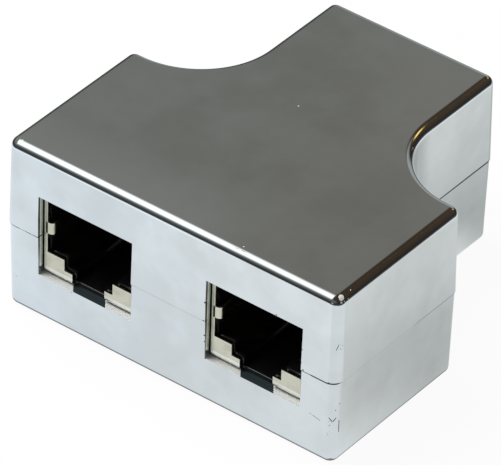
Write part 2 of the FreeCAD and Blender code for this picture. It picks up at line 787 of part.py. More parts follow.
def check(pieces):
    """Stop before anything is written if a feature failed or a piece is not one sound solid."""
    failed = [item.Name for item in doc.Objects if "Invalid" in item.State or "Error" in item.State]
    if failed:
        raise RuntimeError("features failed: " + ", ".join(failed))
    for piece in pieces:
        shape = piece.Shape
        if shape.isNull() or not shape.isValid() or len(shape.Solids) != 1:
            raise RuntimeError(f"{piece.Label} is not one sound solid")


fill_sheet()
made = make_all()
doc.recompute()
check(made)
os.makedirs("parts", exist_ok=True)
for piece in made:
    piece.Shape.exportStep(f"parts/{piece.Label}.step")
print(f"{len(made)} pieces written")
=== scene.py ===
"""Looks of a shielded network splitter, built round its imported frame. All lengths are in metres."""

import json
import math

import bmesh
import bpy
from mathutils import Matrix, Vector


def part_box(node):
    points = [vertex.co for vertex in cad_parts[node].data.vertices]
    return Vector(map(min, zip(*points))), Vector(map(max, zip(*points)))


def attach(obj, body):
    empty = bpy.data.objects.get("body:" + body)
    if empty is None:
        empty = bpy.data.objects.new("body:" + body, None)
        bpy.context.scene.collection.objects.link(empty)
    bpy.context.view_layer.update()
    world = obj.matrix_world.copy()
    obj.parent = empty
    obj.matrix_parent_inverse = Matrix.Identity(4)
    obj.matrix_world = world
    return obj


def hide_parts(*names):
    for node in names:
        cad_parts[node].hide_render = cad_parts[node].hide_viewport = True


bl_info = {
    "name": "Network Splitter Looks",
    "version": (1, 0, 0),
    "blender": (4, 5, 0),
    "location": "3D View > Sidebar > Splitter",
    "description": "Plated housing, folded shields, inserts and contacts of a network splitter",
    "category": "Object",
}

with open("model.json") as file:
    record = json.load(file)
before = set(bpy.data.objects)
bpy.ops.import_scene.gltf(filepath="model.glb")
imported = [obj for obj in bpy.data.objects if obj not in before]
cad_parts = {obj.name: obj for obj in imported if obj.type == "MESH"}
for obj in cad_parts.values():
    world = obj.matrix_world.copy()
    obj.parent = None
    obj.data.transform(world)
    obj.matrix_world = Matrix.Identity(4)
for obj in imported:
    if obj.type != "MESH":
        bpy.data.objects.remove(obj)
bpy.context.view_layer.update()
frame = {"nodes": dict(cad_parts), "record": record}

# Lengths

MM = 0.001
MOUNTS = {mount["name"]: mount for mount in frame["record"]["mounts"]}
SOCKETS = ("front_left", "front_right", "rear")
CONTACTS = 8
UPPER_LOW, UPPER_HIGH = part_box("upper_shell")
SHIELD_LOW, SHIELD_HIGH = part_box("rear_shield")
BOARD_GAP = 0.1 * MM
SHIELD_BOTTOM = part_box("circuit_board")[1].z + BOARD_GAP
PARTING = MOUNTS["rear_socket"]["pos_m"][2]
SEAM_STEP = UPPER_HIGH.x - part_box("lower_shell")[1].x

# Marks on the plating, in millimetres. Chips on the front are given as x, z and reach, all other
# chips, scuffs, painted glints and specks as x, y, z and reach, and a scratch by its two ends and
# its width.
FRONT_CHIPS = (
    (15.21, 17.54, 0.17), (19.24, 11.86, 0.20), (5.16, 11.73, 0.20), (-14.77, 6.38, 0.16),
    (-14.0, 6.12, 0.12), (-17.72, 6.86, 0.13), (-22.15, 4.37, 0.12), (5.26, 14.30, 0.22),
    (5.24, 9.6, 0.18), (5.3, 8.7, 0.2), (19.0, 14.6, 0.16), (18.95, 12.75, 0.14))
CORNER_CHIPS = (
    (23.60, -21.79, 8.60, 0.12), (23.39, -22.20, 7.77, 0.12), (22.90, -22.58, 5.62, 0.13),
    (23.60, -22.00, 16.46, 0.14), (23.66, -21.80, 16.83, 0.10), (23.53, -22.10, 17.15, 0.08),
    (22.76, -22.87, 11.79, 0.16), (23.69, -19.91, 11.33, 0.10))
SCRATCHES = (
    ((23.57, -21.71, 6.13), (23.54, -21.66, 4.48), 0.10),
    ((20.69, -22.74, 6.05), (21.71, -22.74, 5.80), 0.07),
    ((20.23, -22.74, 6.13), (20.45, -22.74, 6.09), 0.05),
    ((22.85, -22.63, 6.69), (23.14, -22.43, 6.22), 0.10),
    ((23.43, -22.10, 6.66), (23.22, -22.36, 6.21), 0.10),
    ((23.46, -22.23, 17.03), (23.32, -22.42, 16.40), 0.08),
    ((8.66, -22.16, 23.28), (9.26, -22.11, 23.30), 0.05),
    ((9.53, -22.09, 23.31), (10.10, -22.09, 23.31), 0.05))
CORNER_SCUFFS = ((23.10, -22.45, 6.2, 0.6), (22.95, -22.55, 4.4, 0.5))
# Painted glints where corners and top edges mirror the light, and white specks
PAINTED_GLINTS_AND_SPECKS = (
    (-2.05, 3.30, 23.4, 0.14), (23.12, -21.62, 23.16, 0.64), (23.09, -19.95, 23.24, 0.13),
    (23.51, -20.88, 22.74, 0.12), (23.33, -21.97, 22.84, 0.13), (23.48, -21.53, 22.79, 0.15),
    (22.9, -10.29, 23.1, 0.14), (22.72, -14.01, 23.1, 0.10), (23.1, -16.44, 23.0, 0.12),
    (9.40, -21.49, 23.40, 0.12), (12.56, 5.59, 23.10, 0.12), (12.70, 5.25, 23.1, 0.11),
    (-21.97, -21.89, 23.38, 0.13))

# How far a cutter reaches past what it cuts, how close two places count as one, and how much wider
# than the mouth the insert's cavity may be
OVERCUT = 1 * MM
NEAR = 0.02 * MM
MERGE = 0.002 * MM
RIM_SPARE = 0.4 * MM

# How many steps each rounding has
JUNCTION_STEPS = 32
CORNER_STEPS = 12
EDGE_STEPS = 8
WINDOW_STEPS = 3
FOLD_STEPS = 6
BOTTOM_FOLD_STEPS = 10
SPRING_STEPS = 8
RIM_STEPS = 4

# Angles: faces and edges that count as one, folds and rims that are rounded, edges that stay sharp
ONE_FACE = math.radians(0.5)
ONE_LINE = math.radians(1)
FOLDED = math.radians(45)
RIM_TURN = math.radians(40)
SHARP = math.radians(35)

# How much of a normal points to the front or back on a side of a window and on the wall's face
SIDE_LEAN = 0.1
FACE_LEAN = 0.9


def span(low, high):
    """A stretch between two places that are given in millimetres."""
    return low * MM, high * MM


def millimetres(name, description, default):
    """A length property; the default is given in millimetres."""
    return bpy.props.FloatProperty(name=name, description=description, default=default * MM,
                                   unit="LENGTH", precision=5)


def tint(name, description, default):
    """A colour property."""
    return bpy.props.FloatVectorProperty(name=name, description=description, default=default,
                                         subtype="COLOR", size=3, min=0.0, max=1.0)


class SplitterSizes(bpy.types.PropertyGroup):
    """Sizes of the housing, the shields and the inserts that the frame's boxes don't give."""

    wing_depth: millimetres("Wing Depth", "How deep the wide front part of the housing is", 23.2)
    neck_width: millimetres("Neck Width", "Width of the narrow rear part of the housing", 24.0)
    junction_radius: millimetres("Junction Radius", "Inner corner between wing and neck", 10.0)
    front_corner_radius: millimetres("Front Corner Radius", "Upright corners of the front", 1.5)
    back_corner_radius: millimetres("Back Corner Radius", "Upright corners of wing and neck", 1.3)
    top_edge_radius: millimetres("Top Edge Radius", "Rounding along the top's edge", 1.05)
    bottom_edge_radius: millimetres("Bottom Edge Radius", "Rounding along the bottom's edge", 0.95)
    wall: millimetres("Wall", "Thickness of the housing's walls and covers", 1.8)
    seam_gap: millimetres("Seam Gap", "Height of the groove between the two halves", 0.12)
    seam_depth: millimetres("Seam Depth", "Depth of the groove between the two halves", 0.4)
    window_side_gap: millimetres("Window Side Gap", "Room at each side of a shield", 0.1)
    window_top_gap: millimetres("Window Top Gap", "Room above a shield", 0.12)
    window_bottom_gap: millimetres("Window Bottom Gap", "Room below a shield", 0.25)
    window_edge: millimetres("Window Edge", "Rounding along the edge of each window", 0.14)
    rim_edge: millimetres("Rim Edge", "Rounding of the inserts' rims", 0.28)
    sheet: millimetres("Sheet", "Thickness of the shields' sheet", 0.25)
    bend_radius: millimetres("Bend Radius", "Outer radius of the shields' folds", 0.32)
    bottom_bend_radius: millimetres("Bottom Bend Radius", "Outer radius of the lower fold", 0.4)
    mouth_width: millimetres("Mouth Width", "Width of a shield's opening", 12.0)
    mouth_overhang: millimetres("Mouth Overhang", "Extra width of the opening at its right", 0.45)
    mouth_top: millimetres("Mouth Top", "Height of the opening's top over the parting line", 4.95)
    first_ledge: millimetres("First Ledge", "Depth of the wide part below the parting line", 2.2)
    second_ledge: millimetres("Second Ledge", "Depth of the step below the parting line", 3.74)
    latch_step_width: millimetres("Latch Step Width", "Width of the opening's latch step", 7.04)
    latch_slot_width: millimetres("Latch Slot Width", "Width of the slot below the step", 4.69)
    bottom_flap: millimetres("Bottom Flap", "Length of the shield's folded bottom", 3.0)
    back_flap_width: millimetres("Back Flap Width", "Width of the shield's back", 12.0)
    back_flap_bottom: millimetres("Back Flap Bottom", "End of the back below the parting line", 4.2)
    leg_place: millimetres("Leg Place", "How far back a shield's legs are", 9.0)
    leg_width: millimetres("Leg Width", "Width of a shield's legs", 1.2)
    spring_bottom: millimetres("Spring Bottom", "Springs' lower edge over the parting line", 0.45)
    spring_top: millimetres("Spring Top", "Springs' upper edge over the parting line", 2.0)
    left_spring_reach: millimetres("Left Spring Reach", "Reach of the left spring", 0.85)
    right_spring_reach: millimetres("Right Spring Reach", "Reach of the right spring", 0.45)
    spring_bend: millimetres("Spring Bend", "Radius where a spring turns back", 0.475)
    spring_length: millimetres("Spring Length", "How far back the springs run", 5.0)
    spring_lean: millimetres("Spring Lean", "How far the springs lean outwards at their end", 0.55)
    draft: bpy.props.FloatProperty(name="Draft", description="Lean of the housing's walls",
                                   default=math.radians(1.1), subtype="ANGLE")


class SplitterFinishes(bpy.types.PropertyGroup):
    """Colours of the finishes."""

    plating: tint("Plating", "Bright plating of the housing", (0.68, 0.735, 0.745))
    warm_plating: tint("Warm Plating", "Its warmer tone towards the right", (0.68, 0.715, 0.705))
    # Also the tone of the shade painted into the groove between the halves
    bare_and_seam_shade: tint("Worn Plating", "What shows where the plating is chipped", (0.03, 0.032, 0.03))
    tin: tint("Tin", "Tinned sheet of the shields", (0.61, 0.595, 0.475))
    plastic: tint("Plastic", "Black plastic of the inserts", (0.008, 0.008, 0.009))
    gold: tint("Gold", "Gilded contact wires", (0.83, 0.58, 0.22))
    laminate: tint("Laminate", "Solder resist of the circuit board", (0.012, 0.12, 0.045))


def sizes():
    return bpy.context.scene.splitter_sizes


def finishes():
    return bpy.context.scene.splitter_finishes


# Selecting and shaping


def select_only(piece):
    """Make one object the selected and active one."""
    bpy.ops.object.select_all(action="DESELECT")
    piece.select_set(True)
    bpy.context.view_layer.objects.active = piece


def begin(piece, mode="VERT"):
    """Edit one object alone, with nothing selected."""
    select_only(piece)
    bpy.ops.object.mode_set(mode="EDIT")
    bpy.ops.mesh.select_mode(type=mode)
    bpy.ops.mesh.select_all(action="DESELECT")


def end():
    bpy.ops.object.mode_set(mode="OBJECT")


def pick(piece, kind, test):
    """Select the vertices, edges or faces that pass the test."""
    bpy.ops.mesh.select_all(action="DESELECT")
    mesh = bmesh.from_edit_mesh(piece.data)
    chosen = [item for item in getattr(mesh, kind) if test(item)]
    for item in chosen:
        item.select_set(True)
    mesh.select_flush_mode()
    bmesh.update_edit_mesh(piece.data)
    if not chosen:
        raise RuntimeError(f"nothing to select on {piece.name}")


def all_near(item, axis, place):
    """True for an edge or a face with all its corners at one place along an axis."""
    return all(abs(vertex.co[axis] - place) < NEAR for vertex in item.verts)


def round_off(radius, steps, kind="EDGES"):
    """Round the selected edges or corners."""
    bpy.ops.mesh.bevel(offset=radius, segments=steps, affect=kind, clamp_overlap=False)


def face_outwards():
    """Turn all faces outwards."""
    bpy.ops.mesh.select_all(action="SELECT")
    bpy.ops.mesh.normals_make_consistent(inside=False)


def add_object(name, data):
    """A new object in the scene."""
    made = bpy.data.objects.new(name, data)
    bpy.context.scene.collection.objects.link(made)
    return made


def add_plate(name, width, left_front, level):
    """A square plate lying flat, with its front edge's middle at the given point."""
    bpy.ops.object.select_all(action="DESELECT")
    x, y = left_front
    bpy.ops.mesh.primitive_plane_add(size=width, location=(x, y + width / 2, level))
    bpy.ops.object.transform_apply(location=True, rotation=True, scale=True)
    plate = bpy.context.active_object
    plate.name = name
    return plate


def add_box(name, low, high):
    """A box between two corners, which serves as a cutter."""
    bpy.ops.object.select_all(action="DESELECT")
    middle = [(a + b) / 2 for a, b in zip(low, high)]
    lengths = [b - a for a, b in zip(low, high)]
    bpy.ops.mesh.primitive_cube_add(size=1, location=middle, scale=lengths)
    bpy.ops.object.transform_apply(location=True, rotation=True, scale=True)
    box = bpy.context.active_object
    box.name = name
    return box


def modify(piece, kind, **settings):
    """Apply a modifier with its settings."""
    select_only(piece)
    modifier = piece.modifiers.new("step", kind)
    for name, value in settings.items():
        setattr(modifier, name, value)
    bpy.ops.object.modifier_apply(modifier=modifier.name)


def cut_away(piece, cutter):
    """Take the cutter's room out of the piece."""
    modify(piece, "BOOLEAN", operation="DIFFERENCE", solver="EXACT", object=cutter)
    bpy.data.objects.remove(cutter)


def smooth(piece):
    """Smooth shading that keeps flat faces flat and sharp edges sharp."""
    select_only(piece)
    bpy.ops.object.shade_smooth_by_angle(angle=SHARP)
    modify(piece, "WEIGHTED_NORMAL", keep_sharp=True, weight=100)


def put_in_place(piece, material, slot, *nodes):
    """Give the piece its finish, let it ride on the body and stand for its nodes."""
    piece.data.materials.clear()
    piece.data.materials.append(material)
    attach(piece, "root")
    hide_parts(*nodes)


# Finishes


class Wire:
    """An output of a node that can be used in expressions; each operator adds a Math node."""

    def __init__(self, finish, socket):
        self.finish = finish
        self.socket = socket

    def calculate(self, operation, first, second):
        """A Math node."""
        return self.finish.node("ShaderNodeMath", {"operation": operation}, {0: first, 1: second})

    def __add__(self, other):
        return self.calculate("ADD", self, other)

    def __radd__(self, other):
        return self.calculate("ADD", other, self)

    def __sub__(self, other):
        return self.calculate("SUBTRACT", self, other)

    def __rsub__(self, other):
        return self.calculate("SUBTRACT", other, self)

    def __mul__(self, other):
        return self.calculate("MULTIPLY", self, other)

    def __rmul__(self, other):
        return self.calculate("MULTIPLY", other, self)

    def __gt__(self, other):
        return self.calculate("GREATER_THAN", self, other)

    def __lt__(self, other):
        return self.calculate("LESS_THAN", self, other)

    def __abs__(self):
        return self.calculate("ABSOLUTE", self, 0)


class Finish:
    """A node tree under construction."""

    def __init__(self, owner):
        owner.use_nodes = True
        self.tree = owner.node_tree
        self.tree.nodes.clear()

    def node(self, kind, settings=None, inputs=None, output=0):
        """Add a node with its settings and the values or links of its inputs."""
        made = self.tree.nodes.new(kind)
        for name, value in (settings or {}).items():
            setattr(made, name, value)
        for name, value in (inputs or {}).items():
            if isinstance(value, Wire):
                self.tree.links.new(value.socket, made.inputs[name])
            else:
                made.inputs[name].default_value = value
        return Wire(self, made.outputs[output]) if made.outputs else None

    def place(self, axis=None):
        """Where the shaded point is on the object, or one coordinate of it, in metres."""
        if not hasattr(self, "point"):
            self.point = self.node("ShaderNodeTexCoord", output="Object")
            self.axes = dict(zip("XYZ", self.split(self.point)))
        return self.axes[axis] if axis else self.point

    def outputs(self, wire, names):
        """Several outputs of the node that a wire comes from."""
        return [Wire(self, wire.socket.node.outputs[name]) for name in names]

    def split(self, vector):
        """The three coordinates of a vector."""
        return self.outputs(self.node("ShaderNodeSeparateXYZ", inputs={0: vector}), "XYZ")

    def stretched(self, scale):
        """The point with each axis scaled."""
        return self.node("ShaderNodeMapping", inputs={"Vector": self.place(), "Scale": scale})

    def grain(self, size, detail=2.0, roughness=0.5, vector=None, seed=0.0):
        """Noise from 0 to 1 whose blotches are about the given size."""
        return self.node("ShaderNodeTexNoise", {"noise_dimensions": "4D"},
                         {"Vector": vector or self.place(), "W": seed, "Scale": 1 / size,
                          "Detail": detail, "Roughness": roughness})

    def ramp(self, value, low, high, start=0.0, stop=1.0):
        """A smooth step from start to stop while the value goes from low to high."""
        return self.node("ShaderNodeMapRange", {"interpolation_type": "SMOOTHSTEP"},
                         {"Value": value, "From Min": low, "From Max": high,
                          "To Min": start, "To Max": stop})

    def fall(self, value, low, high, start=1.0):
        """A smooth step from start down to 0 while the value goes from low to high."""
        return self.ramp(value, low, high, start, 0.0)

    def spot(self, centre, reach):
        """1 at a point, falling to 0 at the reach."""
        return self.fall(self.vector("DISTANCE", self.place(), centre, "Value"), 0.0, reach)

    def scratch(self, start, stop, width):
        """1 along the line between two points, falling to 0 at the width."""
        start, run = Vector(start), Vector(stop) - Vector(start)
        away = self.vector("SUBTRACT", self.place(), start)
        share = self.vector("DOT_PRODUCT", away, run / run.length_squared, "Value")
        share = self.node("ShaderNodeClamp", inputs={"Value": share})
        nearest = self.node("ShaderNodeVectorMath", {"operation": "SCALE"},
                            {0: run, "Scale": share})
        return self.fall(self.vector("DISTANCE", away, nearest, "Value"), 0.0, width)

    def vector(self, operation, first, second=(0, 0, 0), output="Vector"):
        """A Vector Math node."""
        return self.node("ShaderNodeVectorMath", {"operation": operation},
                         {0: first, 1: second}, output)

    def most(self, values):
        """The largest of several values."""
        values = list(values)
        largest = values[0]
        for value in values[1:]:
            largest = largest.calculate("MAXIMUM", largest, value)
        return largest

    def mix(self, factor, first, second):
        """One colour turning into another."""
        first, second = (value if isinstance(value, Wire) else (*value, 1.0)
                         for value in (first, second))
        return self.node("ShaderNodeMix", {"data_type": "RGBA", "clamp_factor": True},
                         {0: factor, 6: first, 7: second}, 2)

    def shade(self, factor, first, second):
        """One shader turning into another."""
        return self.node("ShaderNodeMixShader", inputs={0: factor, 1: first, 2: second})

    def bump(self, height, distance, strength, under=None):
        """A normal from a height that is given from 0 to 1."""
        inputs = {"Height": height, "Distance": distance, "Strength": strength}
        if under:
            inputs["Normal"] = under
        return self.node("ShaderNodeBump", inputs=inputs)

    def surface(self, inputs):
        """The shader that everything feeds."""
        shader = self.node("ShaderNodeBsdfPrincipled", inputs=inputs)
        self.node("ShaderNodeOutputMaterial", inputs={"Surface": shader})


def new_material(name):
    material = bpy.data.materials.new(name)
    return material, Finish(material)


def blend(mask, inside, outside):
    """The first value where the mask is 1, turning into the second where it is 0."""
    return inside * mask + outside * (1.0 - mask)


# Tones that the finishes turn into
HAZE = (0.5, 0.51, 0.5)
SMUDGE = (0.48, 0.49, 0.47)
# Painted reflection: the lighter tone painted on the top
TOP_PAINTED_REFLECTION = (0.80, 0.85, 0.87)
# Pale tone for the painted reflection on the sills and the painted glints, and for white specks
PALE_REFLECTION_AND_SPECKS = (0.92, 0.93, 0.91)
DARK_SILL = (0.035, 0.05, 0.055)
STAIN_SHADE = 0.86
# Painted highlight: the tone painted on the shields' lower fold
FOLD_PAINTED_HIGHLIGHT = (0.8, 0.8, 0.73)
PLASTIC_DUST = (0.03, 0.03, 0.031)
WORN_GOLD = (0.78, 0.62, 0.36)
PALE_LAMINATE = (0.016, 0.15, 0.06)

# Chips on a window's left inner edge: half their width, how deep they lie, how far above the sill
# they gain their strength, and how faint they are below that
RIM_CHIP = 0.04 * MM
RIM_CHIP_DEPTH = span(0.1, 0.42)
RIM_CHIP_RISE = span(2, 4)
RIM_CHIP_FAINT = 0.45

# A window's sill: how close to its level it counts, where it begins behind the front, and how its
# dark middle shifts with the depth and to the right
SILL_LEVEL = 0.03 * MM
SILL_FRONT = 0.12 * MM
DARK_SKEW = 0.75
DARK_SHIFT = 0.84 * MM

# How high over a shield's bottom its fold gets a painted highlight, and the scale of the board's
# weave
FOLD_BAND = span(0.65, 0.95)
WEAVE = 3.2 * MM


def front_at(height):
    """Where the leaning front face is at a height."""
    step = SEAM_STEP if height < PARTING else 0.0
    return UPPER_LOW.y + step + abs(height - PARTING) * math.tan(sizes().draft)


def spots(finish, places):
    """The largest of several spots that are given in millimetres as x, y, z and reach."""
    return finish.most(finish.spot(Vector(place) * MM, reach * MM) for *place, reach in places)


def front_windows():
    """The boxes of the two windows in the front."""
    return list(window_boxes())[:2]


def worn_places(finish):
    """1 where the plating is chipped, scuffed or scratched through."""
    ragged = finish.grain(0.22 * MM, detail=3.0, roughness=0.7, seed=11.0)
    ripple = finish.ramp(ragged, 0.3, 0.7, start=0.7, stop=1.3)
    chips = [(x, front_at(z * MM) / MM, z, reach) for x, z, reach in FRONT_CHIPS]
    chips.extend(CORNER_CHIPS)
    marks = [finish.scratch(Vector(start) * MM, Vector(stop) * MM, width * MM)
             for start, stop, width in SCRATCHES]
    chipped = finish.ramp(finish.most([spots(finish, chips), *marks]) * ripple, 0.35, 0.6)
    flecks = finish.ramp(finish.grain(0.16 * MM, roughness=0.7, seed=2.0), 0.58, 0.66, stop=0.5)
    scuffs = finish.ramp(spots(finish, CORNER_SCUFFS), 0.1, 0.5) * flecks
    return finish.most([chipped, scuffs, chipped_rims(finish, ragged)])


def chipped_rims(finish, ragged):
    """1 along the left inner edge of each front window, where the plating has come off."""
    edges = []
    height = finish.place("Z")
    deep = finish.place("Y") - UPPER_LOW.y
    outermost, innermost = RIM_CHIP_DEPTH
    for low, high in front_windows():
        across = abs(finish.place("X") - low[0])
        strip = (across < RIM_CHIP) * (deep < innermost) * (deep > outermost)
        strip = strip * (height > low[2]) * (height < high[2])
        lowest, highest = (low[2] + rise for rise in RIM_CHIP_RISE)
        edges.append(strip * finish.ramp(height, lowest, highest, start=RIM_CHIP_FAINT))
    return finish.most(edges) * finish.ramp(ragged, 0.3, 0.42)


def painted_seam_shade(finish):
    """1 in the groove between the halves, where shade is painted: dashed in front, faint at the
    sides, dark behind.
    """
    x, y = finish.place("X"), finish.place("Y")
    dashes = finish.grain(1.6 * MM, detail=1.0, roughness=0.4, seed=4.0)
    dashes = finish.ramp(dashes, 0.42, 0.5, start=0.25)
    near_corner = finish.ramp(x, *span(19.5, 20.5))
    front = finish.most([finish.ramp(abs(x), *span(6, 18), start=0.05) * dashes, near_corner])
    sides = finish.ramp(y, *span(-9, -7), start=0.12)
    on_front = finish.fall(y, *span(-22.2, -21.6))
    away = abs(finish.place("Z") - (PARTING - sizes().seam_gap / 2))
    reach = finish.most([finish.ramp(y, *span(2, 18), *span(0.10, 0.19)),
                         on_front * near_corner * (0.14 * MM)])
    return (away < reach) * blend(on_front, front, sides)


def painted_top_reflection(finish):
    """Painted reflection: how much brighter the top is towards its left front edge and the right."""
    x, y = finish.place("X"), finish.place("Y")
    left = finish.fall(y, *span(-22, -11), start=0.8) * finish.fall(x, *span(0, 14))
    right = finish.ramp(x + y, *span(8, 26), stop=0.6)
    return finish.most([left, right]) * (finish.place("Z") > UPPER_HIGH.z - sizes().top_edge_radius)


def window_sills(finish):
    """1 on the sills of the front windows, painted pale and matt as a reflection, and 1 on their dark
    middle.
    """
    deep = finish.place("Y") - UPPER_LOW.y
    pale, dark = [], []
    for low, high in front_windows():
        across = finish.place("X") - (low[0] + high[0]) / 2
        sill = abs(finish.place("Z") - low[2]) < SILL_LEVEL
        sill = sill * (abs(across) < (high[0] - low[0]) / 2 - NEAR)
        sill = sill * (deep > SILL_FRONT) * (deep < sizes().wall)
        middle = abs(across + deep * DARK_SKEW - DARK_SHIFT) < sizes().latch_slot_width / 2
        pale.append(sill * (1.0 - middle))
        dark.append(sill * middle)
    return finish.most(pale), finish.most(dark)


def plating():
    """Bright plating over moulded plastic: slightly wavy, hazed, chipped and scuffed, with painted
    shade in the seam, a painted reflection on the top, painted glints and pale painted sills.
    """
    material, finish = new_material("bright_plating")
    haze = finish.grain(4 * MM, detail=3.0, roughness=0.6)
    smudges = finish.grain(9 * MM, detail=3.0, roughness=0.55, seed=5.0)
    fine = finish.grain(0.35 * MM, roughness=0.6, seed=3.0)
    wave = finish.grain(14 * MM, detail=1.0, roughness=0.4, seed=7.0)
    drawn = finish.grain(0.3 * MM, roughness=0.6, seed=9.0,
                         vector=finish.stretched((0.08, 1.0, 1.0)))
    tone = finish.mix(finish.ramp(finish.place("X"), *span(-20, 18)),
                      finishes().plating, finishes().warm_plating)
    tone = finish.mix(finish.ramp(haze, 0.35, 0.7, stop=0.14), tone, HAZE)
    tone = finish.mix(finish.ramp(smudges, 0.38, 0.62, stop=0.3), tone, SMUDGE)
    # A painted reflection lightens the top towards its left front edge and towards the right
    tone = finish.mix(painted_top_reflection(finish), tone, TOP_PAINTED_REFLECTION)
    # worn takes in the shade painted into the seam as well as the chips, scuffs and scratches
    worn = finish.most([worn_places(finish), painted_seam_shade(finish)])
    tone = finish.mix(worn, tone, finishes().bare_and_seam_shade)
    # Painted glints and white specks, pale and not metallic
    glints_and_specks = spots(finish, PAINTED_GLINTS_AND_SPECKS) * finish.ramp(fine, 0.3, 0.6, start=0.75, stop=1.2)
    # The sills are painted pale where they mirror the shield's bright fold
    pale, dark = window_sills(finish)
    pale = finish.most([finish.ramp(glints_and_specks, 0.3, 0.5), pale])
    tone = finish.mix(pale, tone, PALE_REFLECTION_AND_SPECKS)
    tone = finish.mix(dark, tone, DARK_SILL)
    waves = finish.bump(wave, 0.02 * MM, 0.6)
    streaks = finish.bump(drawn, 0.004 * MM, 0.5, under=waves)
    finish.surface({
        "Base Color": tone,
        "Metallic": 1.0 - finish.most([worn, pale, dark]),
        "Roughness": finish.ramp(haze, 0.3, 0.75, start=0.09, stop=0.13),
        "Normal": finish.bump(fine, 0.0006 * MM, 0.5, under=streaks),
    })
    return material


def tinned_sheet():
    """Dull tinned sheet with rolling streaks and small stains, and a highlight painted at the lower
    fold.
    """
    material, finish = new_material("tinned_sheet")
    streaks = finish.grain(0.5 * MM, roughness=0.6, vector=finish.stretched((1.0, 1.0, 0.1)))
    stains = finish.grain(1.6 * MM, detail=3.0, roughness=0.6, seed=5.0)
    stained = [channel * STAIN_SHADE for channel in finishes().tin]
    tone = finish.mix(finish.ramp(stains, 0.45, 0.75), finishes().tin, stained)
    # A highlight painted on the lower fold, in a band just above the shield's bottom
    painted_fold_highlight = finish.fall(finish.place("Z") - SHIELD_BOTTOM, *FOLD_BAND)
    tone = finish.mix(painted_fold_highlight, tone, FOLD_PAINTED_HIGHLIGHT)
    finish.surface({
        "Base Color": tone,
        "Metallic": 1.0,
        "Roughness": finish.ramp(stains, 0.3, 0.8, start=0.26, stop=0.40),
        "Normal": finish.bump(streaks, 0.004 * MM, 0.5),
    })
    return material


def black_plastic():
    """Glossy black moulding with a faint ripple."""
    material, finish = new_material("black_plastic")
    ripple = finish.grain(1.2 * MM)
    dust = finish.grain(0.25 * MM, roughness=0.7, seed=2.0)
    finish.surface({
        "Base Color": finish.mix(finish.ramp(dust, 0.62, 0.8), finishes().plastic, PLASTIC_DUST),
        "Roughness": finish.ramp(dust, 0.4, 0.8, start=0.13, stop=0.3),
        "Specular IOR Level": 1.0,
        "Normal": finish.bump(ripple, 0.01 * MM, 0.5),
    })
    return material


def gilded_wire():
    """Gold over nickel wire, with faint drawing lines along it."""
    material, finish = new_material("gilded_wire")
    lines = finish.grain(0.12 * MM, vector=finish.stretched((1.0, 0.08, 0.08)))
    worn = finish.grain(1.5 * MM, seed=4.0)
    finish.surface({
        "Base Color": finish.mix(finish.ramp(worn, 0.55, 0.75), finishes().gold, WORN_GOLD),
        "Metallic": 1.0,
        "Roughness": finish.ramp(worn, 0.3, 0.7, start=0.16, stop=0.26),
        "Normal": finish.bump(lines, 0.003 * MM, 0.5),
    })
    return material


def green_laminate():
    """Circuit board: mottled resist over a faint weave."""
    material, finish = new_material("green_laminate")
    across, along = (finish.node("ShaderNodeTexWave", {"bands_direction": direction},
                                 {"Vector": finish.place(), "Scale": 1 / WEAVE, "Distortion": 0.4})
                     for direction in "XY")
    mottle = finish.grain(2.5 * MM, detail=3.0, roughness=0.6)
    finish.surface({
        "Base Color": finish.mix(finish.ramp(mottle, 0.4, 0.7), finishes().laminate, PALE_LAMINATE),
        "Roughness": finish.ramp(mottle, 0.3, 0.8, start=0.28, stop=0.4),
        "Normal": finish.bump(across * along, 0.01 * MM, 0.4),
    })
    return material


# Housing


def t_plate(name, level, inset, rounded=True):
    """The T outline as one flat face, set in from the housing's outer face."""
    size = sizes()
    side, neck = UPPER_HIGH.x - inset, size.neck_width / 2 - inset
    front, back = UPPER_LOW.y + inset, UPPER_HIGH.y - inset
    wing = UPPER_LOW.y + size.wing_depth - inset
    plate = add_plate(name, side * 2, (0, front), level)
    begin(plate)
    pick(plate, "verts", lambda vertex: vertex.co.y > 0)
    bpy.ops.transform.translate(value=(0, wing - front - side * 2, 0))
    for x in (-neck, neck):
        bpy.ops.mesh.select_all(action="SELECT")
        bpy.ops.mesh.bisect(plane_co=(x, 0, 0), plane_no=(1, 0, 0))
    pick(plate, "edges", lambda edge: all_near(edge, 1, wing)
         and abs(sum(vertex.co.x for vertex in edge.verts)) < NEAR)
    bpy.ops.mesh.extrude_region_move(TRANSFORM_OT_translate={"value": (0, back - wing, 0)})
    face_outwards()
    bpy.ops.mesh.dissolve_limited(angle_limit=ONE_LINE)
    corners = [((neck, wing), size.junction_radius, JUNCTION_STEPS)]
    if rounded:
        corners += [((side, front), size.front_corner_radius - inset, CORNER_STEPS),
                    ((side, wing), size.back_corner_radius - inset, CORNER_STEPS),
                    ((neck, back), size.back_corner_radius - inset, CORNER_STEPS)]
    for (x, y), radius, steps in corners:
        pick(plate, "verts", lambda vertex: abs(abs(vertex.co.x) - x) < NEAR
             and abs(vertex.co.y - y) < NEAR)
        round_off(radius, steps, "VERTICES")
    end()
    return plate


def raise_block(plate, lean, height):
    """Turn a flat face into a closed block: walls that lean in, and a flat end on both sides."""
    begin(plate, "FACE")
    bpy.ops.mesh.select_all(action="SELECT")
    bpy.ops.mesh.inset(thickness=lean, depth=height, use_even_offset=True)
    bpy.ops.mesh.select_mode(type="EDGE")
    pick(plate, "edges", lambda edge: edge.is_boundary)
    bpy.ops.mesh.edge_face_add()
    face_outwards()
    end()


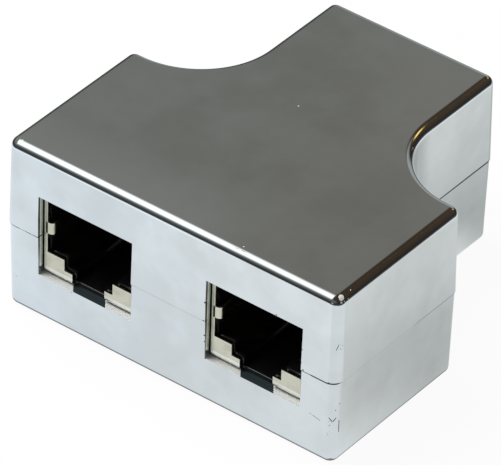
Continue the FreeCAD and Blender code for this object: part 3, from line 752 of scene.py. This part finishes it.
def housing_half(name, level, inset, height, edge_radius, gap):
    """One half of the housing: hollow, drafted and rounded. A negative height points down."""
    size = sizes()
    half = t_plate(name, level, inset)
    raise_block(half, abs(height) * math.tan(size.draft), height)
    begin(half, "EDGE")
    pick(half, "edges", lambda edge: all_near(edge, 2, level + height))
    round_off(edge_radius, EDGE_STEPS)
    end()
    if gap:
        raise_lip(half, level, gap)
    room = t_plate("room", level + gap - math.copysign(OVERCUT, height), size.wall, rounded=False)
    raise_block(room, 0.0, height - gap + math.copysign(OVERCUT - size.wall, height))
    cut_away(half, room)
    return half


def raise_lip(half, level, gap):
    """The lip inside the seam, which closes the groove between the halves."""
    begin(half, "FACE")
    pick(half, "faces", lambda face: all_near(face, 2, level))
    bpy.ops.mesh.inset(thickness=sizes().seam_depth, depth=0.0, use_even_offset=True)
    bpy.ops.mesh.extrude_region_move(TRANSFORM_OT_translate={"value": (0, 0, gap)})
    end()


def window_boxes():
    """The corners of a box through the wall for each socket."""
    size = sizes()
    for socket in SOCKETS:
        low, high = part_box(socket + "_shield")
        outer = UPPER_HIGH.y if socket == "rear" else UPPER_LOW.y
        inner = outer - math.copysign(size.wall, outer)
        reach = math.copysign(OVERCUT, outer)
        front, back = sorted((outer + reach, inner - reach))
        yield ((low.x - size.window_side_gap, front, SHIELD_BOTTOM - size.window_bottom_gap),
               (high.x + size.window_side_gap, back, high.z + size.window_top_gap))


def cut_windows(half):
    """Cut the windows and round their outer edges."""
    boxes = list(window_boxes())
    for low, high in boxes:
        cut_away(half, add_box("window", low, high))

    def within(edge, low, high):
        return all(low[axis] - NEAR < vertex.co[axis] < high[axis] + NEAR
                   for axis in range(3) for vertex in edge.verts)

    def on_rim(edge):
        """True for an outer edge of a window, but not at its sill."""
        if len(edge.link_faces) != 2 or abs(edge.verts[0].co.y) < UPPER_HIGH.y - sizes().wall / 2:
            return False
        least, most = sorted(abs(face.normal.y) for face in edge.link_faces)
        return least <= SIDE_LEAN and most >= FACE_LEAN and any(
            within(edge, low, high) and not all_near(edge, 2, low[2]) for low, high in boxes)

    begin(half, "EDGE")
    pick(half, "edges", on_rim)
    round_off(sizes().window_edge, WINDOW_STEPS)
    end()


class SPLITTER_OT_housing(bpy.types.Operator):
    """Model the upper and lower halves of the plated housing"""

    bl_idname = "splitter.housing"
    bl_label = "Housing"

    def execute(self, context):
        size = sizes()
        finish = plating()
        height = UPPER_HIGH.z - PARTING
        upper = housing_half("upper_housing", PARTING, 0.0, height, size.top_edge_radius, 0.0)
        lower = housing_half("lower_housing", PARTING - size.seam_gap, SEAM_STEP,
                             -(PARTING - size.seam_gap), size.bottom_edge_radius, size.seam_gap)
        for half, node in ((upper, "upper_shell"), (lower, "lower_shell")):
            cut_windows(half)
            smooth(half)
            put_in_place(half, finish, "plated_housing", node)
        return {"FINISHED"}


# Folded sheet, mouldings, wires and board


def merged_copy(node, name):
    """A copy of a node's mesh as one clean surface without its triangles' inner edges."""
    copy = add_object(name, frame["nodes"][node].data.copy())
    begin(copy)
    bpy.ops.mesh.select_all(action="SELECT")
    bpy.ops.mesh.remove_doubles(threshold=MERGE)
    bpy.ops.mesh.tris_convert_to_quads(face_threshold=ONE_FACE, shape_threshold=math.pi)
    end()
    return copy


def thicken(piece, thickness, offset):
    """Give a surface its thickness; an offset of -1 puts it inside and one of 0 on both sides."""
    modify(piece, "SOLIDIFY", thickness=thickness, offset=offset, use_even_offset=True)


def unite(first, *others):
    """Make several pieces one object."""
    select_only(first)
    for other in others:
        other.select_set(True)
    bpy.ops.object.join()


def model_spring(side, mouth_edge, reach):
    """A spring at one side of the mouth: it starts on the front and turns back into the mouth."""
    size = sizes()
    edge, middle = mouth_edge + size.sheet, size.sheet / 2
    turn = mouth_edge - reach + middle
    bpy.ops.object.select_all(action="DESELECT")
    bpy.ops.mesh.primitive_plane_add(size=1, rotation=(math.pi / 2, 0, 0), location=(
        side * (edge + turn) / 2, middle, (size.spring_bottom + size.spring_top) / 2))
    spring = bpy.context.active_object
    spring.scale = (edge - turn, size.spring_top - size.spring_bottom, 1)
    bpy.ops.object.transform_apply(location=True, rotation=True, scale=True)
    begin(spring, "EDGE")
    pick(spring, "edges", lambda item: all_near(item, 0, side * turn))
    lean, back = min(size.spring_lean, reach), size.spring_length - middle
    bpy.ops.mesh.extrude_region_move(TRANSFORM_OT_translate={"value": (side * lean, back, 0)})
    pick(spring, "edges", lambda item: all_near(item, 0, side * turn))
    half_turn = (math.pi / 2 + math.atan2(lean, back)) / 2
    bend = min(size.spring_bend, (reach + size.sheet) / 2)
    round_off(bend * math.tan(half_turn), SPRING_STEPS)
    face_outwards()
    end()
    thicken(spring, size.sheet, 0)
    return spring


def model_shield():
    """The folded shield, with its mouth at the origin and facing the front."""
    size = sizes()
    half, depth = (SHIELD_HIGH.x - SHIELD_LOW.x) / 2, SHIELD_HIGH.y - SHIELD_LOW.y
    top, bottom = SHIELD_HIGH.z - PARTING, SHIELD_BOTTOM - PARTING
    shield = add_box("shield", (-half, 0, bottom), (half, depth, top))
    begin(shield, "EDGE")
    pick(shield, "edges", lambda edge: all_near(edge, 1, 0.0) and all_near(edge, 2, bottom))
    round_off(size.bottom_bend_radius, BOTTOM_FOLD_STEPS)
    pick(shield, "edges", lambda edge: not all_near(edge, 1, depth)
         and edge.calc_face_angle(0.0) > FOLDED)
    round_off(size.bend_radius, FOLD_STEPS)
    bpy.ops.mesh.select_mode(type="FACE")
    pick(shield, "faces", lambda face: all_near(face, 1, depth))
    bpy.ops.mesh.delete(type="FACE")
    end()
    thicken(shield, size.sheet, -1)
    before, behind, below = -OVERCUT, size.sheet * 2, bottom - OVERCUT
    low, low_step = -size.first_ledge, -size.second_ledge
    body, step, slot = size.mouth_width / 2, size.latch_step_width / 2, size.latch_slot_width / 2
    over_fold = bottom + size.bend_radius
    for name, low_corner, high_corner in (
            ("open_bottom", (-half * 2, size.bottom_flap, below), (half * 2, depth * 2, over_fold)),
            ("mouth", (-body, before, low), (body + size.mouth_overhang, behind, size.mouth_top)),
            ("latch_step", (-step, before, low_step), (step, behind, low + OVERCUT)),
            ("latch_slot", (-slot, before, below),
             (slot, size.bottom_flap + OVERCUT, low_step + OVERCUT))):
        cut_away(shield, add_box(name, low_corner, high_corner))
    back = add_box("back", (-size.back_flap_width / 2, depth - size.sheet, -size.back_flap_bottom),
                   (size.back_flap_width / 2, depth, top - size.bend_radius))
    leg_front, leg_back = size.leg_place - size.leg_width / 2, size.leg_place + size.leg_width / 2
    foot = SHIELD_LOW.z - PARTING
    legs = [add_box("leg", (left, leg_front, foot), (left + size.sheet, leg_back, over_fold))
            for left in (-half, half - size.sheet)]
    springs = [model_spring(-1, body, size.left_spring_reach),
               model_spring(1, body + size.mouth_overhang, size.right_spring_reach)]
    unite(shield, *springs, back, *legs)
    return shield


def copy_to_socket(model, socket, name):
    """A copy of a model at its socket, turned round for the rear one."""
    low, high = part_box(socket + "_shield")
    rear = socket == "rear"
    copy = add_object(name, model.data.copy())
    copy.rotation_euler.z = math.pi if rear else 0.0
    copy.location = ((low.x + high.x) / 2, high.y if rear else low.y, PARTING)
    select_only(copy)
    bpy.ops.object.transform_apply(location=True, rotation=True, scale=True)
    return copy


class SPLITTER_OT_shields(bpy.types.Operator):
    """Model the folded shield of each socket"""

    bl_idname = "splitter.shields"
    bl_label = "Shields"

    def execute(self, context):
        finish = tinned_sheet()
        model = model_shield()
        for socket in SOCKETS:
            shield = copy_to_socket(model, socket, socket + "_folded_shield")
            smooth(shield)
            put_in_place(shield, finish, "tinned_shield", socket + "_shield")
        bpy.data.objects.remove(model)
        return {"FINISHED"}


def round_rim(insert, socket):
    """Round the front edges of the plug cavity, which catch the light."""
    low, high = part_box(socket + "_insert")
    front, middle = high.y if socket == "rear" else low.y, (low.x + high.x) / 2
    cavity = sizes().mouth_width / 2 + RIM_SPARE

    def on_rim(edge):
        return (all_near(edge, 1, front) and edge.calc_face_angle_signed(0.0) > RIM_TURN
                and all(abs(vertex.co.x - middle) < cavity for vertex in edge.verts))

    begin(insert, "EDGE")
    pick(insert, "edges", on_rim)
    round_off(sizes().rim_edge, RIM_STEPS)
    end()


class SPLITTER_OT_inserts(bpy.types.Operator):
    """Model the moulded insert of each socket"""

    bl_idname = "splitter.inserts"
    bl_label = "Inserts"

    def execute(self, context):
        finish = black_plastic()
        for socket in SOCKETS:
            insert = merged_copy(socket + "_insert", socket + "_moulded_insert")
            round_rim(insert, socket)
            smooth(insert)
            put_in_place(insert, finish, "black_plastic", socket + "_insert")
            dress(socket + "_contact_block", finish)
        return {"FINISHED"}


def dress(node, material):
    """Give a node of the frame its finish."""
    mesh = frame["nodes"][node].data
    mesh.materials.clear()
    mesh.materials.append(material)


class SPLITTER_OT_contacts(bpy.types.Operator):
    """Gild the eight contact wires of each socket"""

    bl_idname = "splitter.contacts"
    bl_label = "Contacts"

    def execute(self, context):
        finish = gilded_wire()
        for socket in SOCKETS:
            for number in range(1, CONTACTS + 1):
                dress(f"{socket}_contact_{number}", finish)
        return {"FINISHED"}


class SPLITTER_OT_board(bpy.types.Operator):
    """Finish the circuit board"""

    bl_idname = "splitter.board"
    bl_label = "Board"

    def execute(self, context):
        dress("circuit_board", green_laminate())
        return {"FINISHED"}


# Stage

CAMERA_PLACE = Vector((348.333, -472.795, 455.190)) * MM
CAMERA_TURN = math.radians(36.836)
CAMERA_RISE = math.radians(37.289)
CAMERA_ROLL = math.radians(1.854)
CLIP_START = 0.05
CLIP_END = 50
SENSOR = 36.0
LENS = 461.4
LAMP_DIRECTION = Vector((-0.48, -0.10, 0.87)).normalized()
LAMP_DISTANCE = 0.6
LAMP_SIZE = (0.42, 0.42)
LAMP_POWER = 3.9
FLOOR_WIDTH = 6.0
FLOOR_WHITE = (0.9, 0.9, 0.9)
FLOOR_GLOW_SEEN = 0.95

# The floor as the plating mirrors it: a glow with the object's shadow painted in. Its tones before
# the front and at the sides, and how white it is from the nook between wing and neck outwards, the
# painted shadow being darkest in the nook, at the wing, beside the neck, before the front, at the
# right front corner, at the left and far away, each with where it begins or ends. Under the front
# edge a painted contact shadow makes it dark.
FLOOR_BEFORE = (1.07, 1.11, 1.17)
FLOOR_BESIDE = (1.01, 1.035, 1.045)
NOOK = Vector((30.8, 0.6, 0.0)) * MM
NOOK_STRETCH = (1.1, 0.62, 1.0)
NOOK_REACH = span(1, 18)
NOOK_GLOW = (0.60, 0.86)
WING_UNTIL_Y = span(-12, -2)
WING_GLOW = 0.04
NECK_FROM_Y = span(17, 25)
NECK_ALONG_X = span(14, 32)
NECK_GLOW = (0.55, 0.85)
BEFORE_UNTIL_X = span(20, 26)
BEFORE_UNTIL_Y = span(-27, -20)
BEFORE_ALONG_Y = span(-50, -23)
BEFORE_GLOW = (0.95, 0.88)
CORNER_UNTIL_Y = span(-22, -15)
OUTSIDE_FROM_X = span(42, 47)
OUTSIDE_UNTIL_Y = span(0, 8)
CORNER_GLOW = 0.86
LEFT_UNTIL_X = span(-30, -20)
LEFT_GLOW = 0.92
FAR_STRETCH = (1.0, 0.75, 0.0)
FAR_FROM = span(72, 100)
FAR_GLOW = 0.06
CONTACT_SHADE = 0.75
CONTACT_START = 0.1 * MM
CONTACT_REACH = 0.4 * MM

# The studio's walls as the plating mirrors them: a tone, and where it begins or ends along x, y or
# z of the direction
COOL_WALL = (0.225, 0.220, 0.205)
WARM_WALL = (0.207, 0.199, 0.182)
WARM_FROM = (-0.49, -0.44)
BROWN_WALL = (0.056, 0.040, 0.028)
BROWN_FROM = (-0.45, -0.24)
FRONT_WALL = (0.15, 0.158, 0.16)
FRONT_UNTIL = (-0.78, -0.6)
NEAR_GROUND = (0.022, 0.021, 0.022)
GROUND_UNTIL = (0.08, 0.5)
GROUND_SHARE = 0.85
BACK_WALL = (0.40, 0.42, 0.42)
BACK_FROM = (0.72, 0.86)
BACK_LEFT_UNTIL = (-0.2, 0.02)
OPEN_SIDE = (0.50, 0.51, 0.52)
OPEN_FRONT_UNTIL = (-0.995, -0.96)
OPEN_RIGHT_FROM = (0.96, 0.995)

# The studio's soft window and a warm lamp far behind
WINDOW_GLOW = (1.75, 1.8, 1.8)
WINDOW_ALONG_Y = ((-0.77, -0.42), (-0.15, 0.48))
WINDOW_ALONG_X = ((-0.62, -0.52), (-0.32, -0.18))
WARM_LAMP = Vector((0.16, 0.79, 0.59)).normalized()
WARM_LAMP_GLOW = (1.5, 1.0, 0.3)
WARM_LAMP_REACH = (0.07, 0.14)


def add_camera():
    """The camera at the photograph's angle."""
    data = bpy.data.cameras.new("camera")
    data.sensor_width = SENSOR
    data.lens = LENS
    data.clip_start = CLIP_START
    data.clip_end = CLIP_END
    camera = add_object("camera", data)
    back = Vector((math.sin(CAMERA_TURN) * math.cos(CAMERA_RISE),
                   -math.cos(CAMERA_TURN) * math.cos(CAMERA_RISE), math.sin(CAMERA_RISE)))
    right = Vector((math.cos(CAMERA_TURN), math.sin(CAMERA_TURN), 0))
    up = back.cross(right)
    rolled_right = math.cos(CAMERA_ROLL) * right + math.sin(CAMERA_ROLL) * up
    rolled_up = math.cos(CAMERA_ROLL) * up - math.sin(CAMERA_ROLL) * right
    turn = Matrix((rolled_right, rolled_up, back)).transposed()
    camera.matrix_world = Matrix.Translation(CAMERA_PLACE) @ turn.to_4x4()
    bpy.context.scene.camera = camera


def add_lamp():
    """A soft square lamp that lights the object; the plating mirrors the window instead."""
    data = bpy.data.lights.new("softbox", "AREA")
    data.shape = "RECTANGLE"
    data.size, data.size_y = LAMP_SIZE
    data.energy = LAMP_POWER
    lamp = add_object("softbox", data)
    lamp.location = LAMP_DIRECTION * LAMP_DISTANCE
    lamp.rotation_euler = LAMP_DIRECTION.to_track_quat("Z", "Y").to_euler()
    lamp.visible_camera = False
    lamp.visible_glossy = False


def floor_glow(finish):
    """How white the floor glows where gloss mirrors it, dimmer in the object's painted shadow, and 1
    for its tone before the front.
    """
    x, y = finish.place("X"), finish.place("Y")
    # Painted shadow: the glow is dimmest round the nook between wing and neck and beside the neck
    nook = finish.vector("DISTANCE", finish.stretched(NOOK_STRETCH), NOOK, "Value")
    wing = finish.ramp(nook, *NOOK_REACH, *NOOK_GLOW)
    wing = wing + finish.fall(y, *WING_UNTIL_Y, start=WING_GLOW)
    neck = finish.ramp(x, *NECK_ALONG_X, *NECK_GLOW)
    right = blend(finish.ramp(y, *NECK_FROM_Y), neck, wing)
    corner = finish.most([finish.fall(y, *CORNER_UNTIL_Y),
                          finish.ramp(x, *OUTSIDE_FROM_X) * finish.fall(y, *OUTSIDE_UNTIL_Y)])
    right = blend(corner, CORNER_GLOW, right)
    front = finish.ramp(y, *BEFORE_ALONG_Y, *BEFORE_GLOW)
    before = finish.fall(y, *BEFORE_UNTIL_Y) * finish.fall(x, *BEFORE_UNTIL_X)
    near = blend(before, front, right)
    near = blend(finish.fall(x, *LEFT_UNTIL_X), LEFT_GLOW, near)
    # A painted contact shadow under the front edge
    under = finish.ramp(y, UPPER_LOW.y - CONTACT_START, UPPER_LOW.y + CONTACT_REACH,
                        stop=CONTACT_SHADE)
    under = under * finish.fall(abs(x), UPPER_HIGH.x - CONTACT_REACH, UPPER_HIGH.x) * (y < 0.0)
    away = finish.vector("LENGTH", finish.stretched(FAR_STRETCH), output="Value")
    glow = near * (1.0 - under) * finish.ramp(away, *FAR_FROM, start=1.0, stop=FAR_GLOW)
    return glow, finish.most([before, corner])


def add_floor():
    """A plain white floor that keeps the object's shadow; where gloss mirrors it, it glows instead,
    with the object's shadow painted into the glow.
    """
    floor = add_plate("floor", FLOOR_WIDTH, (0, -FLOOR_WIDTH / 2), 0.0)
    material, finish = new_material("white_floor")
    seen, mirrored, through = finish.outputs(finish.node("ShaderNodeLightPath"), (
        "Is Camera Ray", "Is Glossy Ray", "Is Transmission Ray"))
    plain = finish.node("ShaderNodeBsdfDiffuse", inputs={"Color": (*FLOOR_WHITE, 1)})
    white, side, front, dark = (
        finish.node("ShaderNodeEmission", inputs={"Color": (*glow, 1), "Strength": 1.0})
        for glow in ((1.0, 1.0, 1.0), FLOOR_BESIDE, FLOOR_BEFORE, (0.0, 0.0, 0.0)))
    glow, in_front = floor_glow(finish)
    for_eye = finish.shade(finish.most([seen, through]) * FLOOR_GLOW_SEEN, plain, white)
    for_gloss = finish.shade(glow, dark, finish.shade(in_front, side, front))
    shown = finish.shade(mirrored, for_eye, for_gloss)
    finish.node("ShaderNodeOutputMaterial", inputs={"Surface": shown})
    floor.data.materials.append(material)


def light_world():
    """A dim studio with a soft window at the left and a brown right side; the camera sees white."""
    world = bpy.data.worlds.new("studio")
    bpy.context.scene.world = world
    finish = Finish(world)
    direction = finish.node("ShaderNodeTexCoord", output="Generated")
    x, y, z = finish.split(direction)
    walls = finish.mix(finish.ramp(x, *WARM_FROM), COOL_WALL, WARM_WALL)
    walls = finish.mix(finish.ramp(x, *BROWN_FROM), walls, BROWN_WALL)
    walls = finish.mix(finish.fall(y, *FRONT_UNTIL), walls, FRONT_WALL)
    walls = finish.mix(finish.fall(z, *GROUND_UNTIL, start=GROUND_SHARE), walls, NEAR_GROUND)
    back = finish.ramp(y, *BACK_FROM) * finish.fall(x, *BACK_LEFT_UNTIL)
    walls = finish.mix(back, walls, BACK_WALL)
    open_sides = finish.most([finish.fall(y, *OPEN_FRONT_UNTIL), finish.ramp(x, *OPEN_RIGHT_FROM)])
    walls = finish.mix(open_sides, walls, OPEN_SIDE)
    window = z > 0.0
    for value, (begins, ends) in ((y, WINDOW_ALONG_Y), (x, WINDOW_ALONG_X)):
        window = window * finish.ramp(value, *begins) * finish.fall(value, *ends)
    walls = finish.mix(window, walls, WINDOW_GLOW)
    lamp = finish.fall(finish.vector("DISTANCE", direction, WARM_LAMP, "Value"), *WARM_LAMP_REACH)
    walls = finish.mix(lamp, walls, WARM_LAMP_GLOW)
    rays = finish.node("ShaderNodeLightPath", output="Is Camera Ray")
    shown = finish.mix(rays, walls, (1.0, 1.0, 1.0))
    glow = finish.node("ShaderNodeBackground", inputs={"Color": shown, "Strength": 1.0})
    finish.node("ShaderNodeOutputWorld", inputs={"Surface": glow})


class SPLITTER_OT_stage(bpy.types.Operator):
    """Set up the camera, the floor, the lamp and the dim studio"""

    bl_idname = "splitter.stage"
    bl_label = "Stage"

    def execute(self, context):
        context.scene.view_settings.view_transform = "Standard"
        add_camera()
        add_floor()
        add_lamp()
        light_world()
        return {"FINISHED"}


# Add-on

OPERATORS = (
    SPLITTER_OT_housing,
    SPLITTER_OT_shields,
    SPLITTER_OT_inserts,
    SPLITTER_OT_contacts,
    SPLITTER_OT_board,
    SPLITTER_OT_stage,
)


class SPLITTER_PT_panel(bpy.types.Panel):
    """Steps that dress the splitter"""

    bl_idname = "SPLITTER_PT_panel"
    bl_label = "Network Splitter"
    bl_space_type = "VIEW_3D"
    bl_region_type = "UI"
    bl_category = "Splitter"

    def draw(self, context):
        for operator in OPERATORS:
            self.layout.operator(operator.bl_idname)
        for group in (context.scene.splitter_sizes, context.scene.splitter_finishes):
            column = self.layout.column(align=True)
            for name in group.__annotations__:
                column.prop(group, name)


CLASSES = (SplitterSizes, SplitterFinishes, *OPERATORS, SPLITTER_PT_panel)


def register():
    for item in CLASSES:
        bpy.utils.register_class(item)
    bpy.types.Scene.splitter_sizes = bpy.props.PointerProperty(type=SplitterSizes)
    bpy.types.Scene.splitter_finishes = bpy.props.PointerProperty(type=SplitterFinishes)


def unregister():
    del bpy.types.Scene.splitter_finishes
    del bpy.types.Scene.splitter_sizes
    for item in reversed(CLASSES):
        bpy.utils.unregister_class(item)


def main():
    register()
    bpy.ops.splitter.housing()
    bpy.ops.splitter.shields()
    bpy.ops.splitter.inserts()
    bpy.ops.splitter.contacts()
    bpy.ops.splitter.board()
    bpy.ops.splitter.stage()


if __name__ == "__main__":
    main()
